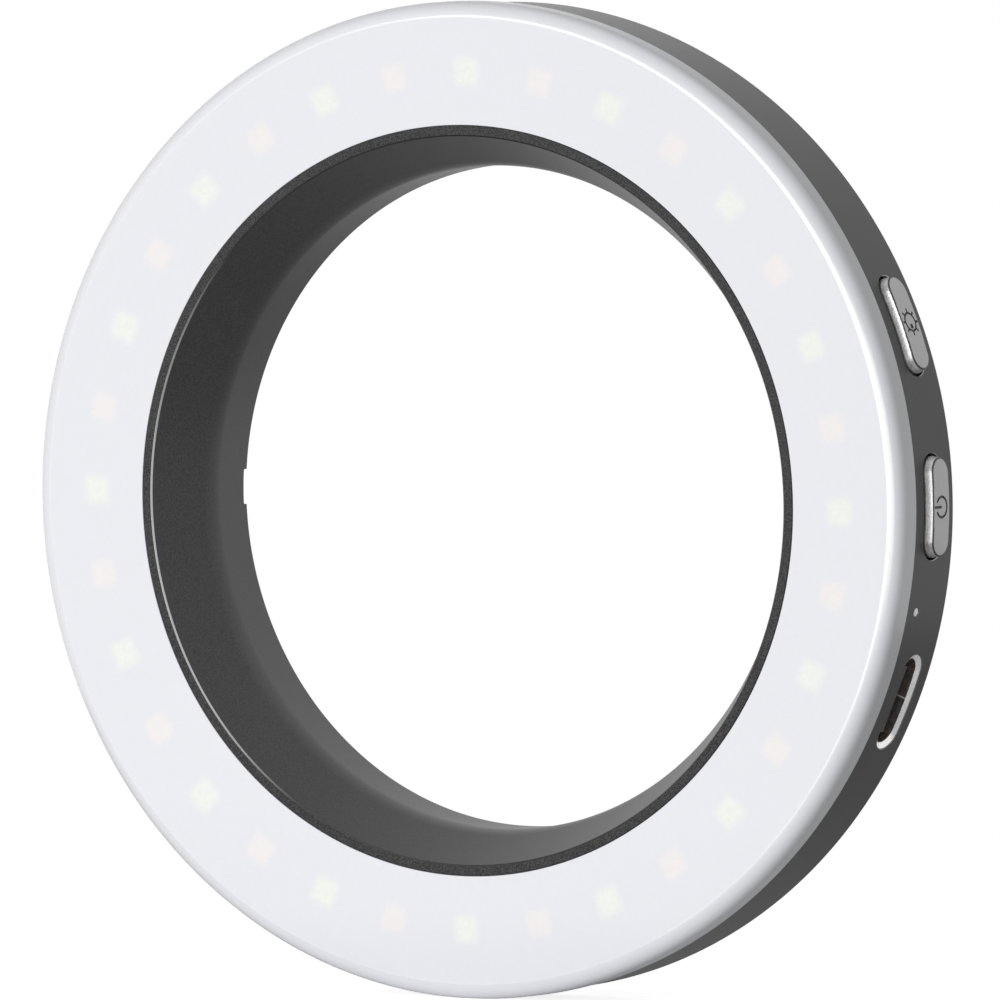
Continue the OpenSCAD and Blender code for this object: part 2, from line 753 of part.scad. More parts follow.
module plunger(place) {
    color([0.85, 0.85, 0.83]) ring_frame() at(place, 0, button_z)
        outward(switch_r - plunger_in, post_r) square([plunger_w, plunger_h], center = true);
}

// Curved cap with its flange and post; the child is the symbol cut into its face
module button_cap(place) {
    color([0.35, 0.35, 0.36]) ring_frame() difference() {
        union() {
            intersection() {
                within(cap_r);
                at(place, 0, button_z) outward(flange_from_r, cap_r + cut) stadium(cap_l, cap_h);
            }
            intersection() {
                washer(flange_from_r, flange_r, 0, depth);
                at(place, 0, button_z) outward(post_r, housing_r) square([flange_l, cap_h], center = true);
            }
            at(place, 0, button_z) outward(post_r, flange_from_r + fit)
                square([plunger_w, plunger_h], center = true);
        }
        difference() {
            at(place, 0, button_z) outward(housing_r, cap_r + cut) children();
            within(cap_r - symbol_depth);
        }
    }
}

// Broken ring with a bar in its gap, which points to the front of the ring light
module power_symbol() {
    ring_r = power_symbol_d / 2;
    break_w = ring_r * 0.9;
    difference() {
        circle(ring_r);
        circle(ring_r - symbol_line);
        translate([-break_w / 2, 0]) square([break_w, ring_r + cut]);
    }
    translate([-symbol_line / 2, 0]) square([symbol_line, ring_r + symbol_line]);
}

// Small disc with a ring and eight rays round it
module sun_symbol() {
    reach = sun_symbol_d / 2;
    ring_r = reach * 0.6;
    ray_l = reach * 0.24;
    line = symbol_line * 0.8;
    circle(ring_r / 3);
    difference() {
        circle(ring_r);
        circle(ring_r - line);
    }
    for (turn = [0 : 45 : 315]) rotate(turn) translate([reach - ray_l, -line / 2]) square([ray_l, line]);
}

module power_switch() {
    side_switch(power_angle);
}

module power_plunger() {
    plunger(power_angle);
}

module power_button() {
    button_cap(power_angle) power_symbol();
}

module brightness_switch() {
    side_switch(brightness_angle);
}

module brightness_plunger() {
    plunger(brightness_angle);
}

module brightness_button() {
    button_cap(brightness_angle) sun_symbol();
}

front_diffuser();
outer_housing();
lens_sleeve();
rear_cover();
rear_screws();
magnets();
led_board();
led_packages();
cool_phosphor();
warm_phosphor();
thermal_tape();
main_board();
board_screws();
header_block();
header_pins();
charger_chip();
driver_chip();
inductor();
capacitors();
battery_cells();
battery_pads();
battery_strip();
usb_shell();
usb_tongue();
usb_contacts();
light_guide();
indicator_led();
power_switch();
power_plunger();
power_button();
brightness_switch();
brightness_plunger();
brightness_button();
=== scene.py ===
"""Looks of the ring light: its rounded and detailed pieces, their materials, the studio and the camera."""
import json
import math
import bmesh
import bpy
from mathutils import Matrix, Vector

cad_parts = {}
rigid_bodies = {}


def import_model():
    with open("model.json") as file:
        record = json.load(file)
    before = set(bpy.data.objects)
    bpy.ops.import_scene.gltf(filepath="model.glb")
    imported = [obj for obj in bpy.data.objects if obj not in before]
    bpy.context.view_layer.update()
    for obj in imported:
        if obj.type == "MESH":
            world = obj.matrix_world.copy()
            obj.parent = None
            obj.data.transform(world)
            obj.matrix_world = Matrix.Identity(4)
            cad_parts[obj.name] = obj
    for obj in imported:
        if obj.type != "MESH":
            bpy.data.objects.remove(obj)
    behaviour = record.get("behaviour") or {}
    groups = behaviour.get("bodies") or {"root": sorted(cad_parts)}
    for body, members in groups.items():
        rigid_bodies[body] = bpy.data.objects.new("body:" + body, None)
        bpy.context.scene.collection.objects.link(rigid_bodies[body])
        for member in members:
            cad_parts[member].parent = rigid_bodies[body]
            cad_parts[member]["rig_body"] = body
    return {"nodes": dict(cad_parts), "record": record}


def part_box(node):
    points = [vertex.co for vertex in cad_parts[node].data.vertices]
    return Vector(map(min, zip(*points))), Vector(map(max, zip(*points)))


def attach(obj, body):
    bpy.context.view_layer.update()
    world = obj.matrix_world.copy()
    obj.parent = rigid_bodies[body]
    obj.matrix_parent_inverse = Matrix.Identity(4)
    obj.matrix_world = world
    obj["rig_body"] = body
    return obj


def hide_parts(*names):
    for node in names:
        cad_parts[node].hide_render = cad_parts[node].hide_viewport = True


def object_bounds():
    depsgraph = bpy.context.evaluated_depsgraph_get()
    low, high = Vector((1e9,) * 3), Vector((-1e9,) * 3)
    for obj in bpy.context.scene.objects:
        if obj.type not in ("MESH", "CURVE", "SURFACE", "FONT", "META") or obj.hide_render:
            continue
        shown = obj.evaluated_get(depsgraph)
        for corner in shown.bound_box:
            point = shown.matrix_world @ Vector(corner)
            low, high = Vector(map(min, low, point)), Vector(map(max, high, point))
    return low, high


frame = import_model()
cad_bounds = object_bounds()

MM = 0.001
TURN_STEPS = 288


def low_mm(node):
    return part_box(node)[0] / MM


def high_mm(node):
    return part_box(node)[1] / MM


# Sizes in millimetres. Heights run from the rear spigot's end towards the front, as -Y in the frame.
MOUNTS = {mount["name"]: mount for mount in frame["record"]["mounts"]}
BORE_R = MOUNTS["lens_bore"]["dims"]["r_mm"]
LIP_R = -low_mm("lens_sleeve").x
LIP_Z = -low_mm("lens_sleeve").y
MOUTH_R = 33.2
LIP_CHAMFER = 0.13
SHOULDER_W = 0.54
SLEEVE_R = LIP_R - SHOULDER_W
SPIGOT_R = BORE_R + 2
FLARE_DEPTH = 6.1
FLARE_BLEND = 5
NOTCH_W = 3.2
NOTCH_DEPTH = 0.6
NOTCH_ANGLE = 180
FIT = 0.05

HOUSING_R = -low_mm("outer_housing").x
REAR_Z = -high_mm("outer_housing").y
SEAM_Z = -low_mm("outer_housing").y
WALL = 1.5
INNER_R = HOUSING_R - WALL
COVER_Z = REAR_Z + 1.2
BOARD_Z = -low_mm("main_board").y
DECK_Z = BOARD_Z + 0.8
PARTS_Z = -high_mm("main_board").y

DIFFUSER_R = -low_mm("front_diffuser").x
FACE_Z = -low_mm("front_diffuser").y
DIFFUSER_T = 1.5
DIFFUSER_ROUND = 1.55
FACE_FROM_R = LIP_R + 0.02
FACE_TO_R = DIFFUSER_R - DIFFUSER_ROUND
RIM_R = INNER_R - FIT
RIM_W = 0.7
RIM_Z = -high_mm("front_diffuser").y
LED_BOARD_Z = -low_mm("led_board").y
LED_COUNT = 32
LED_R = (FACE_FROM_R + FACE_TO_R) / 2
MARK_W = 2.4
MARK_SOFT = 1.1

POWER_ANGLE = 0.4
BRIGHTNESS_ANGLE = 21.8
BUTTON_Z = -(low_mm("power_button").y + high_mm("power_button").y) / 2
CAP_L = 9.2
CAP_H = 3.1
CAP_GAP = 0.2
CAP_R = HOUSING_R + 0.8
CAP_CROWN = [(0.0, 0.01), (0.1, 0.0), (0.52, -0.078), (0.67, -0.115)]
CAP_EDGE = 0.12
POCKET_MORE = 0.06
POCKET_LEAD = 0.06
FLANGE_R = INNER_R - 0.2
FLANGE_FROM_R = FLANGE_R - 0.8
FLANGE_L = CAP_L + 2 * CAP_GAP + 1.6
STEM_R = FLANGE_FROM_R - 0.3
PLUNGER_W = 1.8
PLUNGER_H = 1.2
SYMBOL_DEPTH = 0.15
SYMBOL_LINE = 0.24
POWER_SYMBOL_D = 2.1
SUN_SYMBOL_D = 2.6
SUN_SPOT_OFF = 0.42

USB_ANGLE = -23
USB_W = 8.94
USB_H = 3.16
USB_WALL = 0.3
USB_Z = PARTS_Z - USB_H / 2
USB_STRAIGHT = USB_W - USB_H
USB_OUTER = USB_H / 2
USB_SLOT = USB_OUTER - USB_WALL
USB_RIM = USB_OUTER + 0.06
USB_LONGER = 0.32
USB_RIM_L = 0.8
USB_BEVEL = 0.35
USB_L = 7.35
USB_SUNK = 0.05
USB_SEAM_AT = 0.2
TONGUE_W = 6.6
TONGUE_T = 0.7
TONGUE_SETBACK = 0.8
TONGUE_BASE_L = 1.8

GUIDE_ANGLE = -11.8
GUIDE_Z = PARTS_Z + 0.22
GUIDE_R = 0.4
GUIDE_SUNK = 0.03
# Strength of the glow painted into the light guide, which brightens its end
GUIDE_PAINTED_GLOW = 0.18
COLLECTOR_W = 2
COLLECTOR_FROM_R = 41.9

SCREW_ANGLES = [45, 135, 225, 315]
SCREW_R = 1.6 / 2
SCREW_HEAD_R = 2.8 / 2
SCREW_L = 4
RECESS_TURN = 20
RECESS_DEPTH = 0.9
BOSS_R = 3.4 / 2
BOSS_AT_R = 41.24
MAGNET_AT_R = 37
MAGNET_HALF_ARC = 3.6
MAGNET_R = 3.8 / 2
MAGNET_T = 1.6
MAGNET_SKIN = 0.5
MAGNET_CUP_R = 2.4
BOARD_SCREW_ANGLES = [35.4, -37.1]
BOARD_SCREW_R = 1.2 / 2
BOARD_SCREW_AT_R = 40.3
HEADER_ANGLE = 30.8
HEADER_AT_R = SLEEVE_R + 3
HEADER_W = 1.4
HEADER_L = 5.08

# Painted highlight on the lip's metal bevel: its middle in degrees, and from which shares of the mouth's
# radius towards there it starts and is full.
EDGE_HIGHLIGHT_ANGLE = 188
EDGE_HIGHLIGHT_FROM = 0.62
EDGE_HIGHLIGHT_FULL = 0.9

# Depth of the bump of every grain, in millimetres
BUMP_DEPTH = 0.02

# Studio, with its lengths in metres and the lens and sensor in millimetres. The floor's
# glow is what the camera sees, and a share of it is reflected.
CAMERA_AZIMUTH = 30.1
CAMERA_ELEVATION = 2.96
CAMERA_DISTANCE = 4.0367
CAMERA_LENS = 1600
CAMERA_SENSOR = 36
AIM_RIGHT = 0.003097
AIM_UP = 0.000073
FLOOR_R = 0.14
FLOOR_STEPS = 96
FLOOR_GLOW = 0.86
FLOOR_REFLECTED = 0.25
WORLD_LIGHT = 0.17

# Lamps: name, degrees to the right of the ring's front, degrees up, distance, width, height and watts
LAMPS = [
    ("key", -14, 4, 0.7, 0.4, 0.26, 2.7),
    ("left", -50, 20, 0.9, 0.5, 0.5, 0.2),
    ("right", 16, 3, 0.9, 0.42, 0.4, 1.65),
    ("top", -10, 78, 0.9, 0.6, 0.6, 0.22),
    ("back", 130, 45, 0.9, 0.5, 0.5, 0.2),
]


# Points and meshes

def ring_point(angle, radius, height):
    """Point at an angle in degrees, a distance from the ring's axis and a height towards the front."""
    turn = math.radians(angle)
    return Vector((radius * math.cos(turn), -height, radius * math.sin(turn))) * MM


def wall_point(place, across, height, radius):
    """Point a distance across from the angle place, on the cylinder of that radius round the axis."""
    outwards = math.sqrt(radius ** 2 - across ** 2)
    turn = math.radians(place)
    x = outwards * math.cos(turn) - across * math.sin(turn)
    z = outwards * math.sin(turn) + across * math.cos(turn)
    return Vector((x, -height, z)) * MM


def flat_point(place, across, height, radius):
    """Point a distance across from the angle place, on the plane that touches such a cylinder there."""
    turn = math.radians(place)
    x = radius * math.cos(turn) - across * math.sin(turn)
    z = radius * math.sin(turn) + across * math.cos(turn)
    return Vector((x, -height, z)) * MM


def new_mesh(name, points, faces):
    """Object from points and faces, with doubles merged and normals outwards."""
    mesh = bpy.data.meshes.new(name)
    mesh.from_pydata(points, [], faces)
    bm = bmesh.new()
    bm.from_mesh(mesh)
    bmesh.ops.remove_doubles(bm, verts=bm.verts, dist=1e-7)
    bmesh.ops.recalc_face_normals(bm, faces=bm.faces)
    bm.to_mesh(mesh)
    bm.free()
    obj = bpy.data.objects.new(name, mesh)
    bpy.context.scene.collection.objects.link(obj)
    return obj


def rounded(outline, radii, steps=4):
    """Closed outline with its corners turned into arcs; radii gives one radius for each corner."""
    result = []
    for i, corner in enumerate(outline):
        corner = Vector(corner)
        to_last = Vector(outline[i - 1]) - corner
        to_next = Vector(outline[(i + 1) % len(outline)]) - corner
        radius = radii[i]
        half = to_last.angle(to_next) / 2
        if radius == 0 or half > math.radians(89):
            result.append(corner)
            continue
        reach = min(radius / math.tan(half), 0.48 * to_last.length, 0.48 * to_next.length)
        radius = reach * math.tan(half)
        inwards = (to_last.normalized() + to_next.normalized()).normalized()
        centre = corner + inwards * radius / math.sin(half)
        start = corner + to_last.normalized() * reach - centre
        end = corner + to_next.normalized() * reach - centre
        turn = start.angle_signed(end)
        for step in range(steps + 1):
            angle = -turn * step / steps
            cos, sin = math.cos(angle), math.sin(angle)
            result.append(centre + Vector((start.x * cos - start.y * sin, start.x * sin + start.y * cos)))
    return [tuple(point) for point in result]


def revolve(name, outline, steps=TURN_STEPS, place=None):
    """Closed outline of (radius, height) points turned round the ring's axis or a parallel at place."""
    centre = Vector((0, 0, 0)) if place is None else ring_point(place[0], place[1], 0)
    count = len(outline)
    points = [ring_point(360 * i / steps, r, h) + centre for i in range(steps) for r, h in outline]
    faces = []
    for i in range(steps):
        here, there = i * count, (i + 1) % steps * count
        for j in range(count):
            k = (j + 1) % count
            faces.append((here + j, here + k, there + k, there + j))
    return new_mesh(name, points, faces)


def slot_outline(straight, radius, arc_steps=32, straight_steps=24):
    """Slot with round ends, anticlockwise from its right end, as (across, height) pairs."""
    half = straight / 2
    quarter = arc_steps // 2

    def arc(side, from_angle, steps):
        turns = [math.radians(from_angle + 180 * i / arc_steps) for i in range(steps)]
        return [(side * half + radius * math.cos(t), radius * math.sin(t)) for t in turns]

    def run(side):
        shares = [i / straight_steps for i in range(straight_steps)]
        return [(side * (half - straight * share), side * radius) for share in shares]

    return arc(1, 0, quarter) + run(1) + arc(-1, 90, arc_steps) + run(-1) + arc(1, 270, quarter)


def slot_loft(name, place, height, straight, sections, closed=False, point=wall_point):
    """Solid through slot outlines at the wall's angle place.

    Each section is (outline radius, distance from the ring's axis, more length).
    """
    sections = [(tuple(section) + (0,))[:3] for section in sections]
    outlines = [slot_outline(straight + longer, radius) for radius, distance, longer in sections]
    points = []
    for outline, (radius, distance, longer) in zip(outlines, sections):
        points += [point(place, across, height + up, distance) for across, up in outline]
    count = len(outlines[0])
    faces = []
    last = len(sections) if closed else len(sections) - 1
    for i in range(last):
        here, there = i * count, (i + 1) % len(sections) * count
        for j in range(count):
            k = (j + 1) % count
            faces.append((here + j, here + k, there + k, there + j))
    if not closed:
        for base in (0, (len(sections) - 1) * count):
            for j in range(count // 2):
                corners = [j, j + 1, count - j - 1, (count - j) % count]
                faces.append(tuple(base + c for c in dict.fromkeys(corners)))
    return new_mesh(name, points, faces)


def block(name, place, across, height, radius, rim=0.0):
    """Box in the wall's local directions; each range is (from, to), and rim bevels its edges."""
    corners = [flat_point(place, a, h, r) for r in radius for h in height for a in across]
    faces = [(0, 1, 3, 2), (4, 5, 7, 6), (0, 1, 5, 4), (2, 3, 7, 6), (0, 2, 6, 4), (1, 3, 7, 5)]
    obj = new_mesh(name, corners, faces)
    if rim:
        bevel(obj, rim)
    return obj


def prism(name, points):
    """Solid between two outlines of as many points: the first and the second half of the list."""
    count = len(points) // 2
    faces = [tuple(range(count)), tuple(range(count, 2 * count))]
    faces += [(i, (i + 1) % count, (i + 1) % count + count, i + count) for i in range(count)]
    return new_mesh(name, points, faces)


def bake(obj):
    """Applies the modifiers of a piece to its mesh."""
    graph = bpy.context.evaluated_depsgraph_get()
    mesh = bpy.data.meshes.new_from_object(obj.evaluated_get(graph))
    obj.modifiers.clear()
    obj.data = mesh
    mesh.name = obj.name


def bevel(obj, width, segments=3, limit=40):
    """Rounds the sharp edges of a piece."""
    rim = obj.modifiers.new("rim", "BEVEL")
    rim.width = width * MM
    rim.segments = segments
    rim.limit_method = "ANGLE"
    rim.angle_limit = math.radians(limit)
    bake(obj)


def combine(obj, others, operation="DIFFERENCE"):
    """Cuts other solids from a piece, or joins them to it."""
    for other in others:
        step = obj.modifiers.new("step", "BOOLEAN")
        step.operation = operation
        step.solver = "EXACT"
        step.object = other
        bake(obj)
        bpy.data.objects.remove(other)
    return obj


def smooth(obj, limit=34):
    """Smooth shading that keeps sharp edges, with large faces kept flat."""
    obj.data.shade_smooth()
    obj.data.set_sharp_from_angle(angle=math.radians(limit))
    weighted = obj.modifiers.new("weighted", "WEIGHTED_NORMAL")
    weighted.keep_sharp = True
    bake(obj)


def radius_and_height(face):
    """How far a face's middle lies from the ring's axis, and its height towards the front."""
    return math.hypot(face.center.x, face.center.z) / MM, -face.center.y / MM


def finish_piece(obj, node, slot, *materials):
    """Shades a piece, makes it ride where its node rides and lets it stand for the node."""
    smooth(obj)
    obj.data.materials.clear()
    for material in materials:
        obj.data.materials.append(material)
    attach(obj, frame["nodes"][node]["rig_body"])
    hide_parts(node)


# Materials

def tone(level, tint=(1, 1, 1)):
    """Linear colour of a grey that is given as 0 to 255 on screen, times a tint."""
    share = level / 255
    linear = share / 12.92 if share <= 0.04045 else ((share + 0.055) / 1.055) ** 2.4
    return tuple(linear * t for t in tint) + (1,)


class Finish:
    """Material with its shader and short ways to add nodes to it."""

    def __init__(self, name, color, roughness, metallic=0.0, **sockets):
        self.material = bpy.data.materials.new(name)
        self.material.use_nodes = True
        self.tree = self.material.node_tree
        self.shader = self.tree.nodes["Principled BSDF"]
        self.shader.inputs["Base Color"].default_value = color
        self.shader.inputs["Roughness"].default_value = roughness
        self.shader.inputs["Metallic"].default_value = metallic
        for socket, value in sockets.items():
            self.shader.inputs[socket.replace("_", " ")].default_value = value
        self.place = self.tree.nodes.new("ShaderNodeTexCoord").outputs["Object"]

    def link(self, source, socket):
        self.tree.links.new(source, self.shader.inputs[socket])

    def put(self, node, index, value):
        """Joins a socket to a node's input, or sets the input to a plain value."""
        if isinstance(value, bpy.types.NodeSocket):
            self.tree.links.new(value, node.inputs[index])
        else:
            node.inputs[index].default_value = value

    def math(self, operation, first, second=0.0, third=0.0):
        node = self.tree.nodes.new("ShaderNodeMath")
        node.operation = operation
        for index, value in enumerate((first, second, third)):
            self.put(node, index, value)
        return node.outputs[0]

    def axes(self):
        """The three coordinates of a spot in the object's own metres."""
        node = self.tree.nodes.new("ShaderNodeSeparateXYZ")
        self.tree.links.new(self.place, node.inputs[0])
        return node.outputs

    def noise(self, size_mm, detail=2.0):
        """Noise whose features are about that many millimetres wide, from 0 to 1."""
        node = self.tree.nodes.new("ShaderNodeTexNoise")
        self.tree.links.new(self.place, node.inputs["Vector"])
        node.inputs["Scale"].default_value = 1 / (size_mm * MM)
        node.inputs["Detail"].default_value = detail
        return node.outputs["Fac"]

    def between(self, value, from_low, from_high, to_low=0.0, to_high=1.0):
        """Value mapped smoothly from one range to another, held at its ends."""
        node = self.tree.nodes.new("ShaderNodeMapRange")
        node.interpolation_type = "SMOOTHSTEP"
        for index, item in enumerate((value, from_low, from_high, to_low, to_high)):
            self.put(node, index, item)
        return node.outputs[0]

    def mix(self, factor, first, second):
        """Colour between two others; a Mix node's colour sockets are its inputs 6 and 7 and output 2."""
        node = self.tree.nodes.new("ShaderNodeMix")
        node.data_type = "RGBA"
        self.put(node, 0, factor)
        self.put(node, 6, first)
        self.put(node, 7, second)
        return node.outputs[2]

    def bump(self, height, strength):
        node = self.tree.nodes.new("ShaderNodeBump")
        node.inputs["Strength"].default_value = strength
        node.inputs["Distance"].default_value = BUMP_DEPTH * MM
        self.tree.links.new(height, node.inputs["Height"])
        self.link(node.outputs["Normal"], "Normal")


def speckled(name, dark, light, grain_mm, roughness, metallic=0.0, strength=0.3, tint=(1, 1, 1), **sockets):
    """Blasted or moulded surface: grains of two greys, wide soft patches and a fine bump."""
    finish = Finish(name, tone(dark, tint), roughness, metallic, **sockets)
    grain = finish.noise(grain_mm, detail=3.0)
    patches = finish.noise(grain_mm * 60, detail=1.0)
    share = finish.math("ADD", finish.math("MULTIPLY", grain, 0.95), finish.math("MULTIPLY", patches, 0.05))
    spread = finish.between(share, 0.36, 0.64)
    finish.link(finish.mix(spread, tone(dark, tint), tone(light, tint)), "Base Color")
    finish.link(finish.between(grain, 0.3, 0.7, roughness - 0.05, roughness + 0.05), "Roughness")
    finish.bump(grain, strength)
    return finish


def diffuser_material():
    """Opal plastic: fine grain on the face, glossier sides, and the LEDs seen dimly through the face."""
    plain = tone(243, (0.945, 0.957, 1.0))
    cool = tone(248, (0.985, 1.0, 0.95))
    warm = tone(248, (0.99, 0.95, 0.94))
    grain_color = tone(238, (0.95, 0.965, 1.0))
    pitch = 2 * math.pi / LED_COUNT
    finish = Finish("opal_diffuser", plain, 0.5)
    x, y, z = finish.axes()
    squares = finish.math("ADD", finish.math("MULTIPLY", x, x), finish.math("MULTIPLY", z, z))
    radius = finish.math("POWER", squares, 0.5)
    turn = finish.math("WRAP", finish.math("ARCTAN2", x, z), 2 * math.pi, 0.0)
    share = finish.math("DIVIDE", turn, pitch)
    index = finish.math("ROUND", share)
    across = finish.math("MULTIPLY", finish.math("SUBTRACT", share, index), pitch * LED_R * MM)
    along = finish.math("SUBTRACT", radius, LED_R * MM)
    solid_to, clear_from = (MARK_W - MARK_SOFT) / 2 * MM, (MARK_W + MARK_SOFT) / 2 * MM
    marks = [
        finish.between(finish.math("ABSOLUTE", distance), solid_to, clear_from, 1.0, 0.0)
        for distance in (across, along)
    ]
    front = finish.between(y, -(FACE_Z - 0.3) * MM, -(FACE_Z - 0.1) * MM)
    mark = finish.math("MULTIPLY", finish.math("MULTIPLY", *marks), front)
    parity = finish.math("MODULO", index, 2.0)
    grain = finish.noise(0.35)
    face = finish.mix(mark, plain, finish.mix(parity, cool, warm))
    grain_share = finish.between(grain, 0.4, 0.6, 0.0, 0.2)
    finish.link(finish.mix(grain_share, face, grain_color), "Base Color")
    edge = finish.between(radius, FACE_TO_R * MM, (FACE_TO_R + 0.3) * MM)
    finish.link(finish.between(edge, 0.0, 1.0, 0.55, 0.2), "Roughness")
    finish.link(finish.between(edge, 0.0, 1.0, 0.5, 0.95), "Specular IOR Level")
    finish.bump(finish.math("MULTIPLY", grain, finish.math("SUBTRACT", 1.0, edge)), 0.12)
    return finish.material


def sleeve_material():
    return speckled("blasted_sleeve", 44, 66, 0.14, 0.42, strength=0.3, Specular_IOR_Level=0.58).material


def lip_material():
    """Front of the lip, whose blasted grain stands out more than the bore's."""
    return speckled("blasted_lip", 14, 72, 0.12, 0.55, strength=0.8, Specular_IOR_Level=0.2).material


def cut_edge_material():
    """Metal bevel between the lip and the flare, dark, with a highlight painted on towards the notch's side
    of the ring.
    """
    finish = Finish("cut_edge", tone(72), 0.3, 1.0)
    turn = math.radians(EDGE_HIGHLIGHT_ANGLE)
    x, _, z = finish.axes()
    along_x = finish.math("MULTIPLY", x, math.cos(turn))
    along_z = finish.math("MULTIPLY", z, math.sin(turn))
    towards = finish.math("ADD", along_x, along_z)
    # Painted highlight: the bevel's colour turns lighter towards that side of the ring
    painted_highlight = finish.between(towards, EDGE_HIGHLIGHT_FROM * MOUTH_R * MM, EDGE_HIGHLIGHT_FULL * MOUTH_R * MM)
    finish.link(finish.mix(painted_highlight, tone(72), tone(176)), "Base Color")
    finish.bump(finish.noise(0.1, detail=3.0), 0.06)
    return finish.material


def pocket_edge_material():
    """Bevel cut round the buttons' pockets, which shows some of the metal."""
    return speckled("pocket_edge", 140, 165, 0.1, 0.3, metallic=1.0, strength=0.06).material


def housing_material():
    """Smooth black anodised metal with a soft sheen."""
    return speckled("anodised_housing", 60, 72, 0.1, 0.34, strength=0.1, Specular_IOR_Level=0.35).material


def cover_material():
    return speckled("anodised_cover", 40, 54, 0.1, 0.42, strength=0.2).material


def button_material():
    """Satin metal with a very fine brushed grain."""
    return speckled("satin_button", 146, 160, 0.05, 0.42, metallic=1.0, strength=0.08).material


def polished_material():
    return speckled("polished_button_side", 206, 226, 0.2, 0.34, metallic=0.9, strength=0.08).material


def cap_edge_material():
    return speckled("cap_edge_shadow", 70, 84, 0.1, 0.5, metallic=0.3, strength=0.05).material


def symbol_material():
    return speckled("symbol_paint", 112, 128, 0.05, 0.6, strength=0.15).material


def port_material():
    return speckled("port_steel", 240, 250, 0.2, 0.3, metallic=0.85, strength=0.03).material


def shaded_port_inside_material():
    """Inside of the port's shell: duller metal, painted darker and browner than its polished bevel as shade
    deep in the slot.
    """
    brown = (1.0, 0.86, 0.78)
    finish = speckled("port_inside_shaded_steel", 96, 124, 0.3, 0.5, metallic=0.4, strength=0.05, tint=brown)
    return finish.material


# Seam on the shell's rear side: a real ridge, painted near white as a highlight along it
def seam_highlight_material():
    return speckled("port_seam_highlight", 236, 248, 0.1, 0.5, strength=0.05).material


def tongue_material():
    return speckled("port_tongue_plastic", 74, 90, 0.1, 0.45, strength=0.15, tint=(1.0, 0.88, 0.8)).material


def screw_material():
    return speckled("screw_black_oxide", 58, 92, 0.08, 0.35, metallic=1.0, strength=0.12).material


def guide_material():
    """Frosted guide with a faint glow painted into it, which makes its end read brighter."""
    finish = speckled("light_guide_frosted", 238, 248, 0.2, 0.3, strength=0.06, Emission_Color=(1, 1, 1, 1))
    finish.shader.inputs["Emission Strength"].default_value = GUIDE_PAINTED_GLOW
    return finish.material


# Pieces that show

def post(name, angle, at_r, radius, from_z, to_z, rear_round=0.0, front_round=0.0):
    """Solid cylinder parallel to the ring's axis, with its ends rounded if asked."""
    outline = [(0, from_z), (radius, from_z), (radius, to_z), (0, to_z)]
    return revolve(name, rounded(outline, [0, rear_round, front_round, 0]), steps=48, place=(angle, at_r))


def make_diffuser():
    outline = [
        (FACE_FROM_R, FACE_Z), (DIFFUSER_R, FACE_Z), (DIFFUSER_R, SEAM_Z), (RIM_R, SEAM_Z),
        (RIM_R, RIM_Z), (RIM_R - RIM_W, RIM_Z), (RIM_R - RIM_W, FACE_Z - DIFFUSER_T),
        (FACE_FROM_R + RIM_W, FACE_Z - DIFFUSER_T), (FACE_FROM_R + RIM_W, LED_BOARD_Z + FIT),
        (FACE_FROM_R, LED_BOARD_Z + FIT),
    ]
    radii = [0.05, DIFFUSER_ROUND, 0.1, 0.05, 0.1, 0.1, 0.2, 0.2, 0.1, 0.1]
    path = rounded(outline, radii, steps=10)
    finish_piece(revolve("opal_ring", path), "front_diffuser", "diffuser", diffuser_material())


def make_sleeve():
    """Sleeve with its lip, bevel, flare, bore and key notch."""
    angle = math.atan((MOUTH_R - BORE_R) / FLARE_DEPTH)
    bend_z = LIP_Z - FLARE_DEPTH - FLARE_BLEND * math.tan(angle / 2)
    edge_r = MOUTH_R - LIP_CHAMFER * math.tan(angle)
    steps = 12
    blend = []
    for step in range(steps + 1):
        turn = angle * (steps - step) / steps
        blend.append((BORE_R + FLARE_BLEND * (1 - math.cos(turn)), bend_z + FLARE_BLEND * math.sin(turn)))
    outline = [
        (BORE_R, 0), (SPIGOT_R, 0), (SPIGOT_R, COVER_Z), (SLEEVE_R, COVER_Z), (SLEEVE_R, DECK_Z),
        (LIP_R, DECK_Z), (LIP_R, LIP_Z), (edge_r + LIP_CHAMFER, LIP_Z),
        (edge_r, LIP_Z - LIP_CHAMFER),
    ] + blend
    radii = [0.15, 0.2, 0, 0.1, 0.1, 0.1, 0.12, 0.05, 0.05] + [0] * len(blend)
    sleeve = revolve("flared_sleeve", rounded(outline, radii))
    notch = block(
        "notch", NOTCH_ANGLE, (-NOTCH_W / 2, NOTCH_W / 2), (-1, NOTCH_DEPTH), (BORE_R - 1, SPIGOT_R + 1),
        rim=0.12,
    )
    combine(sleeve, [notch])
    finish_piece(sleeve, "lens_sleeve", "sleeve", sleeve_material(), cut_edge_material(), lip_material())
    for face in sleeve.data.polygons:
        radius, height = radius_and_height(face)
        if height > LIP_Z - LIP_CHAMFER - 0.01:
            face.material_index = 1 if radius < edge_r + LIP_CHAMFER else 2


